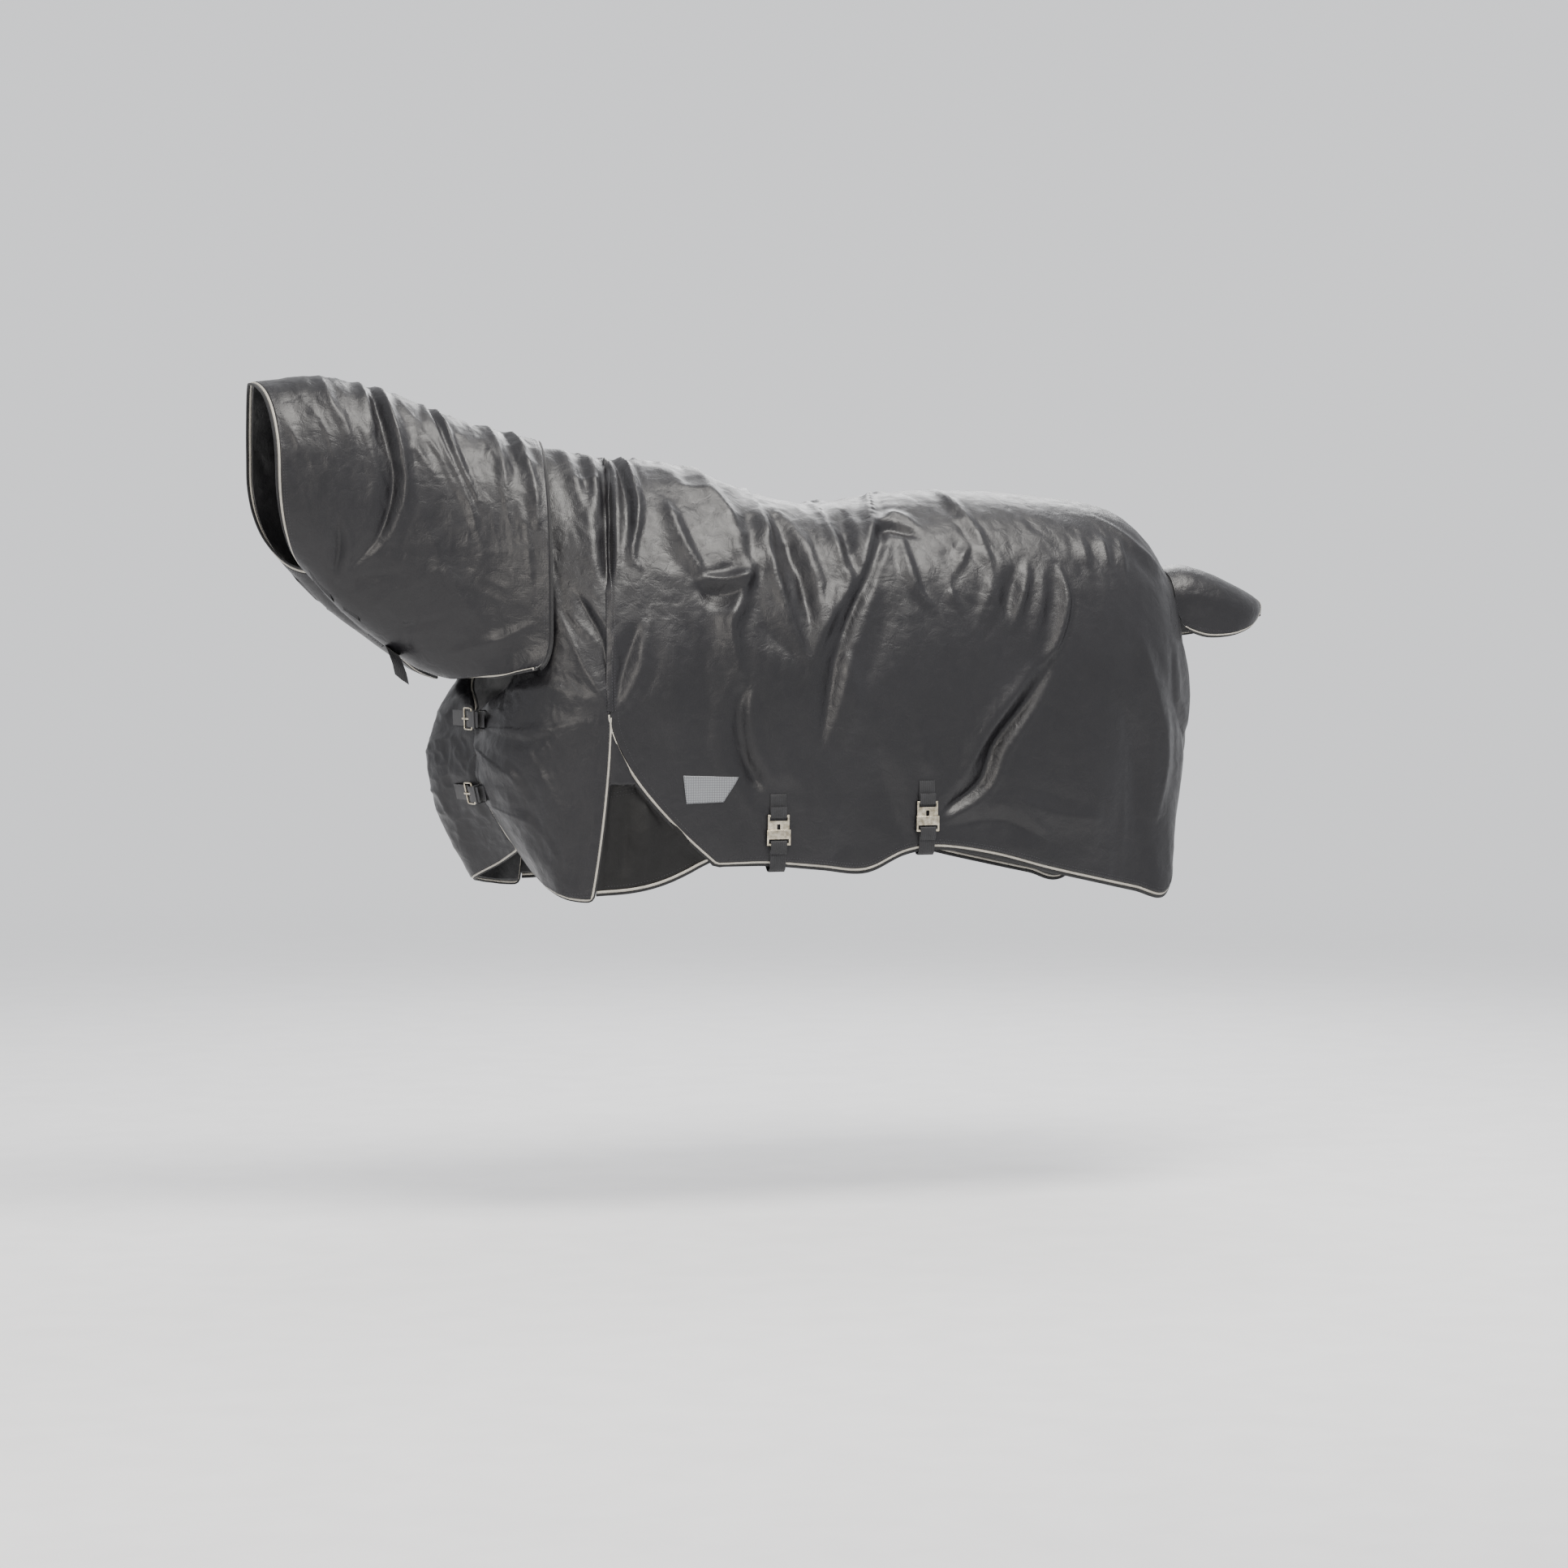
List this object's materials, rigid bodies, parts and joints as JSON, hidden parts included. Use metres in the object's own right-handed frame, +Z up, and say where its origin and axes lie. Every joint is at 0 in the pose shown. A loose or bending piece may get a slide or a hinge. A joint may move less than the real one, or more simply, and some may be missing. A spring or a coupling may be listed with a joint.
{
  "type": "horse turnout rug",
  "caption": "Waterproof horse turnout rug with neck cover, chest buckles, crossed belly straps, leg gussets and an arched tail flap, shaped as worn.",
  "frame": {"origin": "the point of the withers on the inner face of the lining, on the centre plane, where the horse carries the rug", "axes": "+X to the tail, +Y to the horse's right, +Z up"},
  "size_m": [2.234, 0.6469, 1.0687],
  "materials": {
    "outer_cloth": "coated woven polyester, semi-matte",
    "lining_cloth": "smooth nylon lining",
    "wadding_fill": "polyester wadding",
    "piping_cord": "silver-grey piping",
    "binding": "black braid binding",
    "webbing": "woven black webbing",
    "hardware": "plated metal fittings",
    "reflector": "grey reflective film"
  },
  "bodies": {
    "rug": {"billet_lower": "webbing", "billet_upper": "webbing", "body_lining": "lining_cloth", "body_outer": "outer_cloth", "body_piping_left": "piping_cord", "body_piping_right": "piping_cord", "body_wadding": "wadding_fill", "chape_lower": "webbing", "chape_upper": "webbing", "front_left_lining": "lining_cloth", "front_left_outer": "outer_cloth", "front_left_wadding": "wadding_fill", "front_piping_left": "piping_cord", "front_piping_right": "piping_cord", "front_right_lining": "lining_cloth", "front_right_outer": "outer_cloth", "front_right_wadding": "wadding_fill", "gusset_left": "outer_cloth", "gusset_piping_left": "piping_cord", "gusset_piping_right": "piping_cord", "gusset_right": "outer_cloth", "hook_plate_front": "hardware", "hook_plate_rear": "hardware", "keeper_lower": "webbing", "keeper_upper": "webbing", "neck_tab_left": "webbing", "neck_tab_right": "webbing", "rear_binding": "binding", "reflective_patch": "reflector", "strap_anchor_front": "webbing", "strap_anchor_rear": "webbing", "surcingle_strap_front": "webbing", "surcingle_strap_rear": "webbing", "surcingle_tab_front": "webbing", "surcingle_tab_rear": "webbing"},
    "neck_cover": {"neck_front_piping": "piping_cord", "neck_lining": "lining_cloth", "neck_lower_piping_left": "piping_cord", "neck_lower_piping_right": "piping_cord", "neck_outer": "outer_cloth", "neck_rear_binding": "binding", "neck_wadding": "wadding_fill", "throat_strap_1": "webbing", "throat_strap_2": "webbing", "throat_strap_3": "webbing"},
    "tail_flap": {"tail_flap_lining": "lining_cloth", "tail_flap_outer": "outer_cloth", "tail_flap_piping": "piping_cord"},
    "upper_buckle": {"buckle_upper": "hardware"},
    "lower_buckle": {"buckle_lower": "hardware"},
    "upper_prong": {"prong_upper": "hardware"},
    "lower_prong": {"prong_lower": "hardware"},
    "front_hook": {"t_hook_front": "hardware"},
    "rear_hook": {"t_hook_rear": "hardware"},
    "front_slide": {"strap_slide_front": "hardware"},
    "rear_slide": {"strap_slide_rear": "hardware"}
  },
  "joints": [
    {"name": "neck_cover_lift", "type": "hinge", "parent": "rug", "child": "neck_cover", "pos_m": [-0.27262, 0, 0.04956], "axis": [0, 1, 0], "range_deg": [0, 15]},
    {"name": "tail_flap_lift", "type": "hinge", "parent": "rug", "child": "tail_flap", "pos_m": [1.12466, 0, -0.21105], "axis": [0, -1, 0], "range_deg": [0, 35]},
    {"name": "upper_buckle_turn", "type": "hinge", "parent": "rug", "child": "upper_buckle", "pos_m": [-0.41849, -0.032, -0.51285], "axis": [-0.0371, 0, 0.9993], "range_deg": [0, 15]},
    {"name": "upper_prong_turn", "type": "hinge", "parent": "upper_buckle", "child": "upper_prong", "pos_m": [-0.41849, -0.032, -0.51285], "axis": [-0.0371, 0, 0.9993], "range_deg": [0, 10]},
    {"name": "lower_buckle_turn", "type": "hinge", "parent": "rug", "child": "lower_buckle", "pos_m": [-0.41557, -0.032, -0.66484], "axis": [-0.2212, 0, 0.9752], "range_deg": [0, 15]},
    {"name": "lower_prong_turn", "type": "hinge", "parent": "lower_buckle", "child": "lower_prong", "pos_m": [-0.41557, -0.032, -0.66484], "axis": [-0.2212, 0, 0.9752], "range_deg": [0, 10]},
    {"name": "front_hook_swivel", "type": "hinge", "parent": "rug", "child": "front_hook", "pos_m": [0.14464, -0.3145, -0.74081], "axis": [-0.0448, -0.9982, -0.0398], "range_deg": [-8, 8]},
    {"name": "front_strap_adjust", "type": "slide", "parent": "rug", "child": "front_slide", "axis": [-0.547, -0.8371, 0], "range_m": [-0.03, 0.03]},
    {"name": "rear_hook_swivel", "type": "hinge", "parent": "rug", "child": "rear_hook", "pos_m": [0.46611, -0.32265, -0.71869], "axis": [0.0128, -0.9997, -0.023], "range_deg": [-8, 8]},
    {"name": "rear_strap_adjust", "type": "slide", "parent": "rug", "child": "rear_slide", "axis": [0.547, -0.8371, 0], "range_m": [-0.03, 0.03]}
  ]
}
